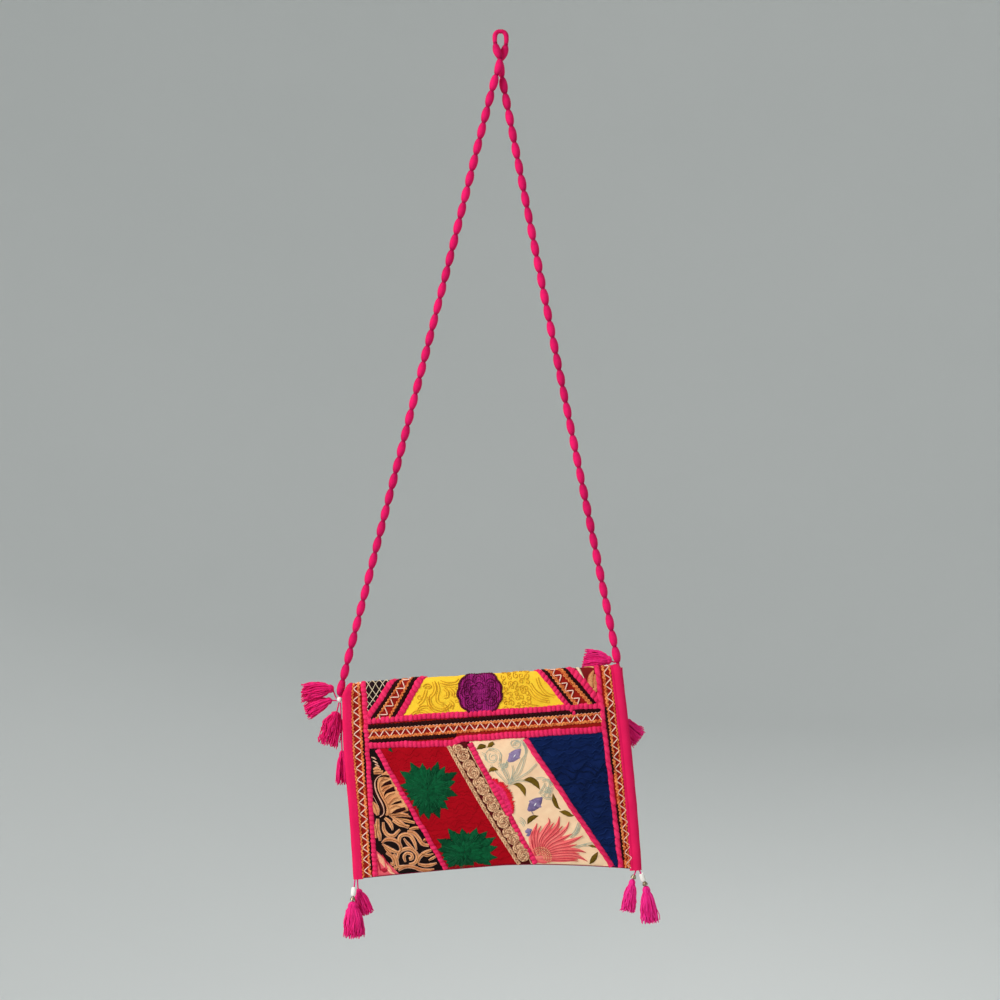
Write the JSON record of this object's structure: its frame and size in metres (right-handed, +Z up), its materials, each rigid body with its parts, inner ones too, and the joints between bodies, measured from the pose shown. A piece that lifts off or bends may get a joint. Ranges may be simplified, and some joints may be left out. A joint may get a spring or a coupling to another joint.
{
  "type": "clutch bag",
  "caption": "Flat embroidered patchwork clutch bag with a full-front flap, pink bindings and braids, corner tassels and a long strap of yarn-wrapped bobbles.",
  "frame": {"origin": "the hanging point inside the top of the strap's loop, where the strap rests on what it hangs from", "axes": "+Z up along the strap, -Y the way the embroidered front of the bag faces, +X to the right of the front"},
  "size_m": [0.358, 0.0316, 0.9093],
  "materials": {
    "pouch_cloth": "plain cotton",
    "binding_cloth": "plain hot-pink tape",
    "lattice_cloth": "dark cotton with a pale stitched lattice",
    "yellow_cloth": "yellow cotton with golden-brown stitched swirls",
    "purple_thread": "satin stitch",
    "leaf_cloth": "gold brocade cotton",
    "scroll_cloth": "gold scrolls stitched on black cotton",
    "salmon_cloth": "stitched cotton",
    "red_cloth": "red cotton with tone-on-tone stitching",
    "green_thread": "satin stitch",
    "cream_cloth": "cream cotton with embroidered flowers",
    "navy_cloth": "navy cotton with tone-on-tone stitching",
    "zigzag_trim": "woven trim with zigzag thread",
    "rope_trim": "couched beige cord in rounds",
    "braid_yarn": "couched yarn braid",
    "strap_yarn": "wrapped yarn",
    "tassel_yarn": "cut yarn",
    "white_bead": "polished white bead",
    "metal_cap": "dull stamped metal"
  },
  "bodies": {
    "root": {"pouch": "pouch_cloth", "flap": "pouch_cloth", "binding_left": "binding_cloth", "binding_right": "binding_cloth", "strap_tab_left": "binding_cloth", "strap_tab_right": "binding_cloth", "lattice_patch": "lattice_cloth", "yellow_patch": "yellow_cloth", "purple_rosette": "purple_thread", "leaf_patch": "leaf_cloth", "scroll_patch": "scroll_cloth", "salmon_patch": "salmon_cloth", "red_patch": "red_cloth", "green_rosette_upper": "green_thread", "green_rosette_lower": "green_thread", "cream_patch": "cream_cloth", "navy_patch": "navy_cloth", "trim_left": "zigzag_trim", "trim_right": "zigzag_trim", "trim_across": "zigzag_trim", "trim_slant_left": "zigzag_trim", "trim_slant_right": "zigzag_trim", "trim_rope": "rope_trim", "braid_left": "braid_yarn", "braid_right": "braid_yarn", "braid_upper": "braid_yarn", "braid_lower": "braid_yarn", "braid_slant_left_outer": "braid_yarn", "braid_slant_left_inner": "braid_yarn", "braid_slant_right_inner": "braid_yarn", "braid_slant_right_outer": "braid_yarn", "braid_low_left": "braid_yarn", "braid_low_middle": "braid_yarn", "braid_low_right": "braid_yarn", "strap_left": "strap_yarn", "strap_right": "strap_yarn", "tassel_left_upper": "tassel_yarn", "tassel_left_lower": "tassel_yarn", "tassel_left_hanging": "tassel_yarn", "tassel_left_long": "tassel_yarn", "tassel_right_top": "tassel_yarn", "tassel_right_side": "tassel_yarn", "tassel_corner_left_front": "tassel_yarn", "tassel_corner_left_back": "tassel_yarn", "tassel_corner_right_inner": "tassel_yarn", "tassel_corner_right_outer": "tassel_yarn", "bead_strap_left": "white_bead", "bead_corner_left": "white_bead", "bead_corner_right": "white_bead", "cap_corner_left": "metal_cap", "cap_corner_right_inner": "metal_cap", "cap_corner_right_outer": "metal_cap"}
  },
  "joints": []
}
